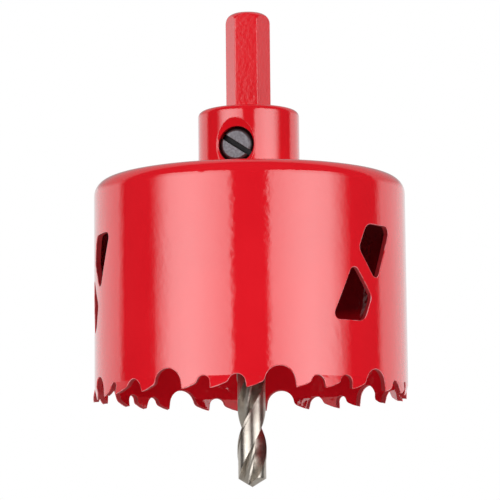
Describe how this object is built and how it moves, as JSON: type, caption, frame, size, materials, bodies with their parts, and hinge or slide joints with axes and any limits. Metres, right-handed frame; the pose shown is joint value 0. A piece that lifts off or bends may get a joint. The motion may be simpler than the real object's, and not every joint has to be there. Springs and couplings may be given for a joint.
{
  "type": "hole saw",
  "caption": "Bi-metal hole saw with a toothed steel cup, knock-out windows, hexagon arbor and a twist drill held by a slotted grub screw.",
  "frame": {"origin": "on the axis at the top of the collar, where the hexagon shank starts", "axes": "+Z along the axis from the teeth to the shank; -Y is the front, towards the grub screw's side"},
  "size_m": [0.0685, 0.0685, 0.1041],
  "materials": {
    "red_lacquer": "gloss",
    "black_oxide": "satin, black oxide",
    "ground_steel": "bright ground high-speed steel"
  },
  "bodies": {
    "root": {"saw_band": "red_lacquer", "end_cap": "red_lacquer", "arbor": "red_lacquer", "set_screw": "black_oxide", "pilot_drill": "ground_steel"}
  },
  "joints": []
}
